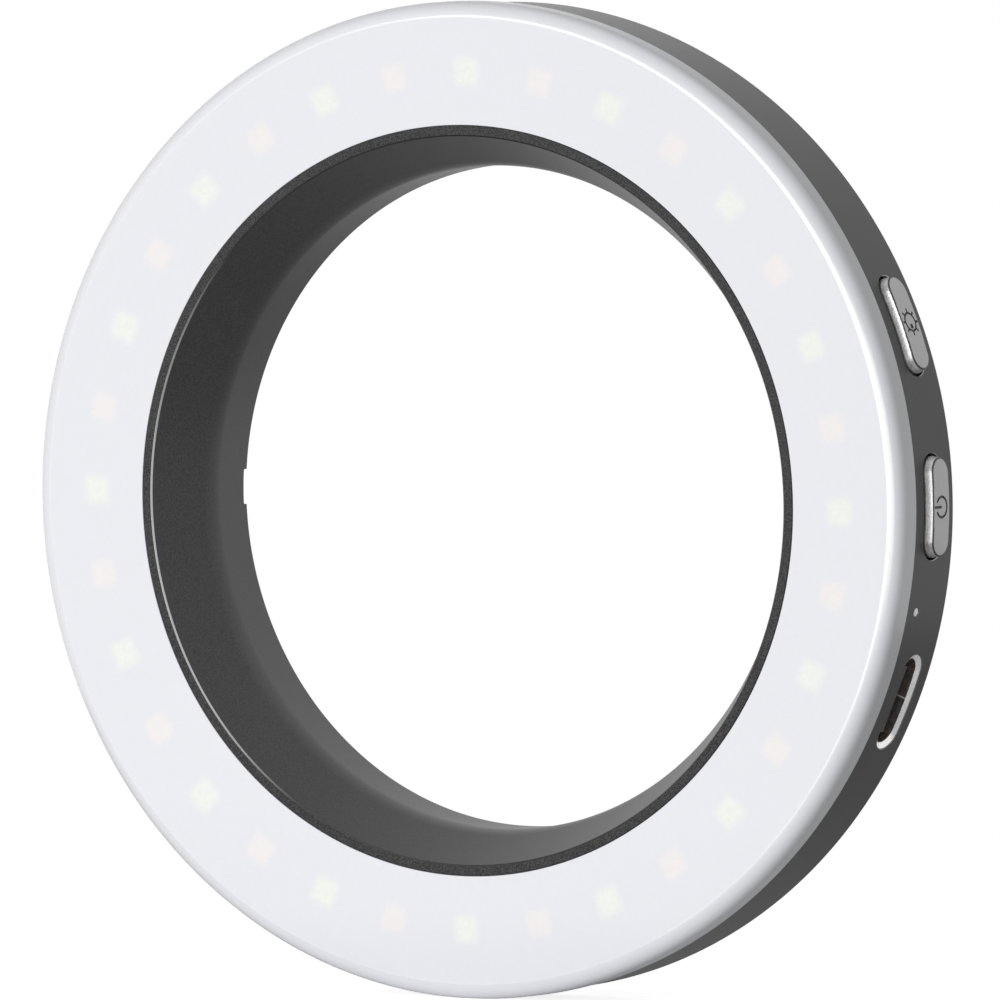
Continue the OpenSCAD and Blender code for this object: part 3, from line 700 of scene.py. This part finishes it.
def make_housing():
    """Wall and deck with bosses, pockets, the header's slot and holes for the port, guide and screws."""
    outline = [
        (INNER_R, REAR_Z), (HOUSING_R, REAR_Z), (HOUSING_R, SEAM_Z), (INNER_R, SEAM_Z), (INNER_R, DECK_Z),
        (SLEEVE_R + FIT, DECK_Z), (SLEEVE_R + FIT, BOARD_Z), (INNER_R, BOARD_Z),
    ]
    housing = revolve("wall_and_deck", rounded(outline, [0.1, 0.22, 0.12, 0.05, 0, 0.1, 0.1, 0]))
    combine(housing, [
        post("boss", angle, BOSS_AT_R, BOSS_R, COVER_Z, BOARD_Z + 0.2, rear_round=0.15)
        for angle in SCREW_ANGLES
    ], "UNION")
    pocket_r = CAP_H / 2 + CAP_GAP + POCKET_MORE
    mouth_r = pocket_r + 2 * POCKET_LEAD
    cutters = [
        slot_loft("pocket", place, BUTTON_Z, CAP_L - CAP_H, [
            (pocket_r, INNER_R - 1), (pocket_r, HOUSING_R - POCKET_LEAD),
            (mouth_r, HOUSING_R + POCKET_LEAD),
        ])
        for place in (POWER_ANGLE, BRIGHTNESS_ANGLE)
    ]
    rim = USB_RIM + 0.02
    cutters.append(slot_loft("port_hole", USB_ANGLE, USB_Z, USB_STRAIGHT, [
        (rim, INNER_R - 1, USB_LONGER), (rim, HOUSING_R - 0.03, USB_LONGER),
        (rim + 0.06, HOUSING_R + 0.03, USB_LONGER),
    ]))
    hole = GUIDE_R + FIT
    cutters.append(slot_loft("guide_hole", GUIDE_ANGLE, GUIDE_Z, 0.001, [
        (hole, INNER_R - 1), (hole, HOUSING_R - 0.02), (hole + 0.04, HOUSING_R + 0.04),
    ]))
    cutters += [
        post("thread", angle, BOSS_AT_R, SCREW_R + FIT, COVER_Z - 1, BOARD_Z)
        for angle in SCREW_ANGLES
    ]
    cutters += [
        post("thread", angle, BOARD_SCREW_AT_R, BOARD_SCREW_R + FIT, BOARD_Z - 1, DECK_Z + 1)
        for angle in BOARD_SCREW_ANGLES
    ]
    cutters.append(block(
        "header_slot", HEADER_ANGLE, (-HEADER_L / 2 - FIT, HEADER_L / 2 + FIT), (BOARD_Z - 1, DECK_Z + 1),
        (HEADER_AT_R - HEADER_W / 2 - FIT, HEADER_AT_R + HEADER_W / 2 + FIT),
    ))
    combine(housing, cutters)
    finish_piece(housing, "outer_housing", "housing", housing_material(), pocket_edge_material())
    for face in housing.data.polygons:
        radius, height = radius_and_height(face)
        on_lead = HOUSING_R - POCKET_LEAD < radius < HOUSING_R - 0.005
        if on_lead and abs(height - BUTTON_Z) < mouth_r:
            face.material_index = 1


def make_cover():
    """Flat rear plate with the magnets' cups and seats and the countersunk holes."""
    from_r, to_r = SPIGOT_R + FIT, INNER_R - FIT
    outline = [(from_r, REAR_Z), (to_r, REAR_Z), (to_r, COVER_Z), (from_r, COVER_Z)]
    cover = revolve("rear_plate", rounded(outline, [0.12, 0.12, 0.1, 0.1]))
    head_h = SCREW_HEAD_R - SCREW_R
    magnet_angles = [angle + side * MAGNET_HALF_ARC for angle in SCREW_ANGLES for side in (-1, 1)]
    cup_z = REAR_Z + MAGNET_SKIN + MAGNET_T
    combine(cover, [
        post("cup", angle, MAGNET_AT_R, MAGNET_CUP_R, REAR_Z + 0.3, cup_z, front_round=0.12)
        for angle in magnet_angles
    ], "UNION")
    cutters = [
        post("magnet_seat", angle, MAGNET_AT_R, MAGNET_R + FIT, REAR_Z + MAGNET_SKIN, cup_z + 1)
        for angle in magnet_angles
    ]
    cutters += [
        revolve("screw_hole", [
            (0, REAR_Z - 1), (SCREW_HEAD_R + FIT + 1, REAR_Z - 1), (SCREW_HEAD_R + FIT, REAR_Z),
            (SCREW_R + FIT, REAR_Z + head_h), (SCREW_R + FIT, COVER_Z + 1), (0, COVER_Z + 1),
        ], steps=64, place=(angle, BOSS_AT_R))
        for angle in SCREW_ANGLES
    ]
    finish_piece(combine(cover, cutters), "rear_cover", "cover", cover_material())


def screw(angle):
    """Countersunk screw with a cross recess and a slightly rounded head edge."""
    head_h = SCREW_HEAD_R - SCREW_R
    outline = rounded([
        (0, REAR_Z), (SCREW_HEAD_R, REAR_Z), (SCREW_R, REAR_Z + head_h), (SCREW_R, REAR_Z + SCREW_L),
        (0, REAR_Z + SCREW_L),
    ], [0, 0.08, 0.1, 0.15, 0])
    obj = revolve("screw", outline, steps=64, place=(angle, BOSS_AT_R))
    levels = ((-0.2, 0.88, 0.2), (RECESS_DEPTH, 0.25, 0.1))
    points = []
    for depth, length, width in levels:
        middle = ring_point(angle, BOSS_AT_R, REAR_Z + depth)
        for quarter in range(4):
            turn = Matrix.Rotation(-math.radians(RECESS_TURN + 90 * quarter), 4, "Y")
            for a, b in ((length, -width), (length, width), (width, width)):
                points.append(turn @ Vector((a * MM, 0, b * MM)) + middle)
    return combine(obj, [prism("cross", points)])


def join(name, pieces):
    """One object from several, each with its mesh as it is."""
    bm = bmesh.new()
    for piece in pieces:
        bm.from_mesh(piece.data)
        bpy.data.objects.remove(piece)
    mesh = bpy.data.meshes.new(name)
    bm.to_mesh(mesh)
    bm.free()
    obj = bpy.data.objects.new(name, mesh)
    bpy.context.scene.collection.objects.link(obj)
    return obj


def make_screws():
    screws = join("cover_screws", [screw(angle) for angle in SCREW_ANGLES])
    finish_piece(screws, "rear_screws", "screw", screw_material())


def stroke(place, outline, from_r, to_r):
    """Prism that cuts a flat outline of (across, height) points into a cap's face."""
    return prism("stroke", [
        flat_point(place, a, BUTTON_Z + h, r) for r in (from_r, to_r) for a, h in outline
    ])


def arc_band(radius, width, from_angle, to_angle, steps):
    """Flat band along an arc, as a closed outline."""
    turns = [math.radians(from_angle + (to_angle - from_angle) * i / steps) for i in range(steps + 1)]
    outer = [(radius * math.cos(t), radius * math.sin(t)) for t in turns]
    inner = [((radius - width) * math.cos(t), (radius - width) * math.sin(t)) for t in reversed(turns)]
    return outer + inner


def bar(angle, from_r, to_r, width):
    """Flat bar that points away from the symbol's middle."""
    turn = math.radians(angle)
    along, side = Vector((math.cos(turn), math.sin(turn))), Vector((-math.sin(turn), math.cos(turn)))
    corners = ((from_r, -1), (to_r, -1), (to_r, 1), (from_r, 1))
    return [tuple(along * r + side * s * width / 2) for r, s in corners]


def power_symbol():
    """Broken ring with a bar in its gap, which points to the front of the ring light."""
    radius = POWER_SYMBOL_D / 2
    gap = math.degrees(math.asin(0.45))
    ring = arc_band(radius, SYMBOL_LINE, 90 + gap, 450 - gap, 40)
    return [ring, bar(90, 0, radius + SYMBOL_LINE, SYMBOL_LINE)]


def toothed_band(radius, width, reach, tooth, from_angle, to_angle, teeth):
    """Flat band along an arc with short rays on its outer side, as one closed outline."""
    steps = int((to_angle - from_angle) / 7.5)
    turns = [math.radians(from_angle + (to_angle - from_angle) * i / steps) for i in range(steps + 1)]
    half, tip = math.asin(tooth / 2 / radius), math.asin(tooth / 2 / reach)
    middles = [math.radians(angle) for angle in teeth]
    spots = [
        (turn, radius) for turn in turns
        if all(abs(turn - middle) > half + 0.02 for middle in middles)
    ]
    for middle in middles:
        spots += [(middle - half, radius), (middle - tip, reach)]
        spots += [(middle + tip, reach), (middle + half, radius)]
    outer = [(r * math.cos(t), r * math.sin(t)) for t, r in sorted(spots)]
    inner = [((radius - width) * math.cos(t), (radius - width) * math.sin(t)) for t in reversed(turns)]
    return outer + inner


def sun_symbol():
    """Ring with eight short rays on it and a small spot in its lower half."""
    reach = SUN_SYMBOL_D / 2
    ring = reach * 0.74
    line = SYMBOL_LINE * 0.9
    spot = reach * 0.19
    turns = [math.tau * i / 20 for i in range(20)]
    disc = [(spot * math.cos(t) - SUN_SPOT_OFF, spot * math.sin(t)) for t in turns]
    halves = [
        toothed_band(ring, line, reach, line, start, start + 181, [start + 22.5 + 45 * i for i in range(4)])
        for start in (22.5, 202.5)
    ]
    return [disc] + halves


def flange_plate(place):
    """Curved plate behind the wall, which keeps a cap in its pocket."""
    steps = 24
    points = []
    for distance in (FLANGE_FROM_R, FLANGE_R):
        for step in range(steps + 1):
            across = FLANGE_L / 2 * (2 * step / steps - 1)
            for side in (-1, 1):
                points.append(wall_point(place, across, BUTTON_Z + side * (CAP_H / 2 - 0.01), distance))
    outer = len(points) // 2
    faces = []
    for i in range(0, 2 * steps, 2):
        faces += [(i, i + 1, i + 3, i + 2), (outer + i, outer + i + 1, outer + i + 3, outer + i + 2)]
        faces += [(i, i + 2, outer + i + 2, outer + i), (i + 1, i + 3, outer + i + 3, outer + i + 1)]
    for i in (0, 2 * steps):
        faces.append((i, i + 1, outer + i + 1, outer + i))
    plate = new_mesh("flange", points, faces)
    bevel(plate, 0.08)
    return plate


def paint_cap(cap, place):
    """Gives a cap's sides, its symbol and the edge of its face their own materials."""
    turn = math.radians(place)
    outwards = Vector((math.cos(turn), 0, math.sin(turn)))
    middle = Vector((0, -BUTTON_Z, 0)) * MM
    for face in cap.data.polygons:
        radius, height = radius_and_height(face)
        facing = abs(face.normal.dot(outwards))
        aside = (face.center - middle - outwards * face.center.dot(outwards)).length / MM
        near = aside < SUN_SYMBOL_D / 2 + 0.3 and abs(height - BUTTON_Z) < SUN_SYMBOL_D / 2 + 0.04
        if near and CAP_R - SYMBOL_DEPTH - 0.03 < radius < CAP_R - 0.02:
            face.material_index = 2
        elif radius > CAP_R - CAP_EDGE and facing < 0.98:
            face.material_index = 3
        elif radius < CAP_R and facing < 0.5:
            face.material_index = 1


def make_button(name, node, place, symbol):
    """Cap with a satin face, polished sides, a cut and painted symbol, and its flange and stem."""
    half = CAP_H / 2
    side_to = half + CAP_CROWN[-1][1]
    sections = [(half, FLANGE_FROM_R), (half, HOUSING_R - 0.5), (half + 0.01, HOUSING_R - 0.4)]
    sections += [(half + wider, HOUSING_R + out) for out, wider in CAP_CROWN]
    sections += [
        (side_to - CAP_EDGE * (1 - math.cos(t)), CAP_R - CAP_EDGE * (1 - math.sin(t)))
        for t in (math.radians(22.5 * i) for i in range(1, 5))
    ]
    cap = slot_loft(name, place, BUTTON_Z, CAP_L - CAP_H, sections)
    stem = block(
        "stem", place, (-PLUNGER_W / 2, PLUNGER_W / 2),
        (BUTTON_Z - PLUNGER_H / 2, BUTTON_Z + PLUNGER_H / 2), (STEM_R, FLANGE_FROM_R + 0.2), rim=0.08,
    )
    combine(cap, [flange_plate(place), stem], "UNION")
    combine(cap, [stroke(place, outline, CAP_R - SYMBOL_DEPTH, CAP_R + 1) for outline in symbol])
    finish_piece(
        cap, node, "button", button_material(), polished_material(), symbol_material(), cap_edge_material(),
    )
    paint_cap(cap, place)


def make_port():
    """Port shell whose rim follows the wall, with a bevel in to its slot and its seam on the rear side."""
    back_r = HOUSING_R - USB_L
    rim_from_r = HOUSING_R - USB_RIM_L
    rim_r = HOUSING_R - USB_SUNK
    sections = [
        (USB_OUTER, back_r), (USB_OUTER, rim_from_r), (USB_RIM - 0.04, rim_from_r, USB_LONGER),
        (USB_RIM, rim_from_r + 0.04, USB_LONGER), (USB_RIM, rim_r - 0.03, USB_LONGER),
        (USB_RIM - 0.02, rim_r, USB_LONGER), (USB_RIM - 0.05, rim_r, USB_LONGER),
        (USB_SLOT + 0.06, HOUSING_R - USB_BEVEL + 0.03), (USB_SLOT, HOUSING_R - USB_BEVEL - 0.04),
        (USB_SLOT, back_r),
    ]
    shell = slot_loft("port_shell", USB_ANGLE, USB_Z, USB_STRAIGHT, sections, closed=True)
    rear_z = USB_Z - USB_SLOT
    seam = block(
        "seam", USB_ANGLE, (USB_SEAM_AT - 0.05, USB_SEAM_AT + 0.05), (rear_z - 0.05, rear_z + 0.05),
        (HOUSING_R - 2, HOUSING_R - USB_BEVEL - 0.05),
    )
    combine(shell, [seam], "UNION")
    finish_piece(shell, "usb_shell", "port_shell", port_material(), shaded_port_inside_material(), seam_highlight_material())
    turn = math.radians(USB_ANGLE)
    across = Vector((-math.sin(turn), 0, math.cos(turn)))
    for face in shell.data.polygons:
        radius, height = radius_and_height(face)
        depth = HOUSING_R - radius
        aside = face.center.dot(across) / MM
        up = abs(height - USB_Z)
        inside = math.hypot(max(abs(aside) - USB_STRAIGHT / 2, 0), up) < USB_SLOT + 0.03
        # The seam's ridge, which gets the material with the painted highlight
        ridge = abs(aside - USB_SEAM_AT) < 0.08 and up < USB_SLOT - 0.01
        # Faces deep in the slot get the painted shade, except the seam's ridge
        if inside and depth > USB_BEVEL + 0.02:
            face.material_index = 2 if ridge else 1


def make_tongue():
    """Plastic base at the back of the port's shell, with the flat tongue that a plug slips over."""
    from_r = HOUSING_R - USB_L + 0.3
    base_r = from_r + TONGUE_BASE_L
    base = slot_loft("port_tongue", USB_ANGLE, USB_Z, USB_STRAIGHT, [
        (USB_SLOT - FIT, from_r), (USB_SLOT - FIT, base_r - 0.1), (USB_SLOT - FIT - 0.1, base_r),
    ], point=flat_point)
    plate = block(
        "plate", USB_ANGLE, (-TONGUE_W / 2, TONGUE_W / 2), (USB_Z - TONGUE_T / 2, USB_Z + TONGUE_T / 2),
        (base_r - 0.5, HOUSING_R - TONGUE_SETBACK), rim=0.12,
    )
    finish_piece(combine(base, [plate], "UNION"), "usb_tongue", "port_tongue", tongue_material())


def make_guide():
    """Light guide with a slightly sunk, rounded end in the wall and its collector behind."""
    end = HOUSING_R - GUIDE_SUNK
    low, high = low_mm("light_guide"), high_mm("light_guide")
    rod = slot_loft("indicator_guide", GUIDE_ANGLE, GUIDE_Z, 0.001, [
        (GUIDE_R, INNER_R - 0.3), (GUIDE_R, end - 0.06),
        (GUIDE_R - 0.03, end - 0.02), (GUIDE_R - 0.08, end),
    ], point=flat_point)
    collector = block(
        "collector", GUIDE_ANGLE, (-COLLECTOR_W / 2, COLLECTOR_W / 2), (-high.y, -low.y),
        (COLLECTOR_FROM_R, INNER_R - 0.2), rim=0.08,
    )
    finish_piece(combine(rod, [collector], "UNION"), "light_guide", "light_guide", guide_material())


# Materials of the pieces inside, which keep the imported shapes

def inner_materials():
    """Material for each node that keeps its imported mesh."""
    nickel = speckled("magnet_nickel", 205, 222, 0.4, 0.18, metallic=1.0, strength=0.04)
    white_board = speckled("white_solder_mask", 226, 238, 0.3, 0.35, strength=0.06)
    package = speckled("led_package_resin", 232, 244, 0.1, 0.4, strength=0.08)
    cool = speckled("phosphor_cool", 236, 247, 0.08, 0.45, strength=0.12, tint=(1.0, 0.9, 0.35))
    warm = speckled("phosphor_warm", 232, 244, 0.08, 0.45, strength=0.12, tint=(1.0, 0.66, 0.42))
    tape = speckled("thermal_tape_film", 190, 206, 0.5, 0.6, strength=0.2, tint=(0.96, 0.98, 1.0))
    green = speckled("green_solder_mask", 120, 138, 0.4, 0.3, strength=0.08, tint=(0.12, 1.0, 0.4))
    black = speckled("component_black", 44, 58, 0.06, 0.5, strength=0.2)
    ferrite = speckled("ferrite_grey", 92, 112, 0.1, 0.55, strength=0.3)
    ceramic = speckled("capacitor_ceramic", 168, 188, 0.1, 0.4, strength=0.1, tint=(1.0, 0.75, 0.5))
    yellow = (1.0, 0.76, 0.34)
    gold = speckled("gold_contact", 216, 230, 0.1, 0.22, metallic=1.0, strength=0.05, tint=yellow)
    foil = speckled("cell_foil", 196, 214, 0.9, 0.28, metallic=0.8, strength=0.25)
    foam = speckled("foam_pad_black", 50, 70, 0.12, 0.85, strength=0.6)
    flex = speckled("flex_amber", 196, 208, 0.5, 0.3, strength=0.06, tint=(1.0, 0.56, 0.12))
    nylon = speckled("plunger_nylon", 214, 228, 0.15, 0.4, strength=0.1, tint=(1.0, 1.0, 0.94))
    return {
        "magnets": nickel, "led_board": white_board, "led_packages": package, "cool_phosphor": cool,
        "warm_phosphor": warm, "thermal_tape": tape, "main_board": green, "board_screws": nickel,
        "header_block": black, "header_pins": gold, "charger_chip": black, "driver_chip": black,
        "inductor": ferrite, "capacitors": ceramic, "battery_cells": foil, "battery_pads": foam,
        "battery_strip": flex, "usb_contacts": gold, "indicator_led": package, "power_switch": black,
        "brightness_switch": black, "power_plunger": nylon, "brightness_plunger": nylon,
    }


# Studio

def direction(azimuth, elevation):
    """Unit vector from the ring: degrees to the right of its front, and degrees up."""
    turn, rise = math.radians(azimuth), math.radians(elevation)
    return Vector((math.sin(turn) * math.cos(rise), -math.cos(turn) * math.cos(rise), math.sin(rise)))


def make_camera():
    """Long lens that looks from the photograph's direction, aimed near the middle of the lip."""
    azimuth = math.radians(CAMERA_AZIMUTH)
    right = Vector((math.cos(azimuth), math.sin(azimuth), 0))
    back = direction(CAMERA_AZIMUTH, CAMERA_ELEVATION)
    up = back.cross(right)
    target = Vector((0, -LIP_Z * MM, 0)) + right * AIM_RIGHT + up * AIM_UP
    camera = bpy.data.objects.new("camera", bpy.data.cameras.new("camera"))
    bpy.context.scene.collection.objects.link(camera)
    camera.data.lens = CAMERA_LENS
    camera.data.sensor_width = CAMERA_SENSOR
    facing = Matrix((right, up, back)).transposed().to_4x4()
    camera.matrix_world = Matrix.Translation(target + back * CAMERA_DISTANCE) @ facing
    bpy.context.scene.camera = camera


def area_light(name, azimuth, elevation, distance, width, height, watts):
    """Soft light that points at the ring's middle."""
    light = bpy.data.lights.new(name, "AREA")
    light.shape = "RECTANGLE"
    light.size = width
    light.size_y = height
    light.energy = watts
    lamp = bpy.data.objects.new(name, light)
    bpy.context.scene.collection.objects.link(lamp)
    lamp.location = direction(azimuth, elevation) * distance
    lamp.rotation_euler = lamp.location.to_track_quat("Z", "Y").to_euler()


def seen_share(tree, reflected=1.0):
    """1 for a camera ray, a share for a reflected or transmitted one, and 0 for light on the object."""
    path = tree.nodes.new("ShaderNodeLightPath")
    total = path.outputs["Is Camera Ray"]
    for ray in ("Is Glossy Ray", "Is Transmission Ray"):
        share = tree.nodes.new("ShaderNodeMath")
        share.operation = "MULTIPLY"
        tree.links.new(path.outputs[ray], share.inputs[0])
        share.inputs[1].default_value = reflected
        most = tree.nodes.new("ShaderNodeMath")
        most.operation = "MAXIMUM"
        tree.links.new(total, most.inputs[0])
        tree.links.new(share.outputs[0], most.inputs[1])
        total = most.outputs[0]
    return total


def make_world():
    """White for the camera and in reflections, and a plain dim grey as light on the object."""
    world = bpy.data.worlds.new("studio")
    world.use_nodes = True
    bpy.context.scene.world = world
    tree = world.node_tree
    mix = tree.nodes.new("ShaderNodeMix")
    mix.data_type = "RGBA"
    tree.links.new(seen_share(tree), mix.inputs[0])
    mix.inputs[6].default_value = (WORLD_LIGHT, WORLD_LIGHT, WORLD_LIGHT, 1)
    mix.inputs[7].default_value = (1, 1, 1, 1)
    tree.links.new(mix.outputs[2], tree.nodes["Background"].inputs["Color"])


def make_floor():
    """Round pale floor under the ring, which keeps its shadow and is white where it is lit."""
    height = cad_bounds[0][2]
    turns = [math.tau * i / FLOOR_STEPS for i in range(FLOOR_STEPS)]
    points = [Vector((FLOOR_R * math.cos(t), FLOOR_R * math.sin(t), height)) for t in turns]
    floor = new_mesh("floor", points, [tuple(range(FLOOR_STEPS))])
    finish = Finish("floor_paper", tone(238), 0.9, Specular_IOR_Level=0.0, Emission_Color=(1, 1, 1, 1))
    finish.link(finish.mix(finish.noise(4, detail=3.0), tone(236), tone(239)), "Base Color")
    glow = seen_share(finish.tree, FLOOR_REFLECTED)
    finish.link(finish.math("MULTIPLY", glow, FLOOR_GLOW), "Emission Strength")
    floor.data.materials.append(finish.material)


make_camera()
make_diffuser()
make_sleeve()
make_housing()
make_cover()
make_screws()
make_button("power_cap", "power_button", POWER_ANGLE, power_symbol())
make_button("brightness_cap", "brightness_button", BRIGHTNESS_ANGLE, sun_symbol())
make_port()
make_tongue()
make_guide()
for node, finish in inner_materials().items():
    frame["nodes"][node].data.materials.clear()
    frame["nodes"][node].data.materials.append(finish.material)

make_floor()
make_world()
for lamp in LAMPS:
    area_light(*lamp)

bpy.context.scene.view_settings.view_transform = "Standard"
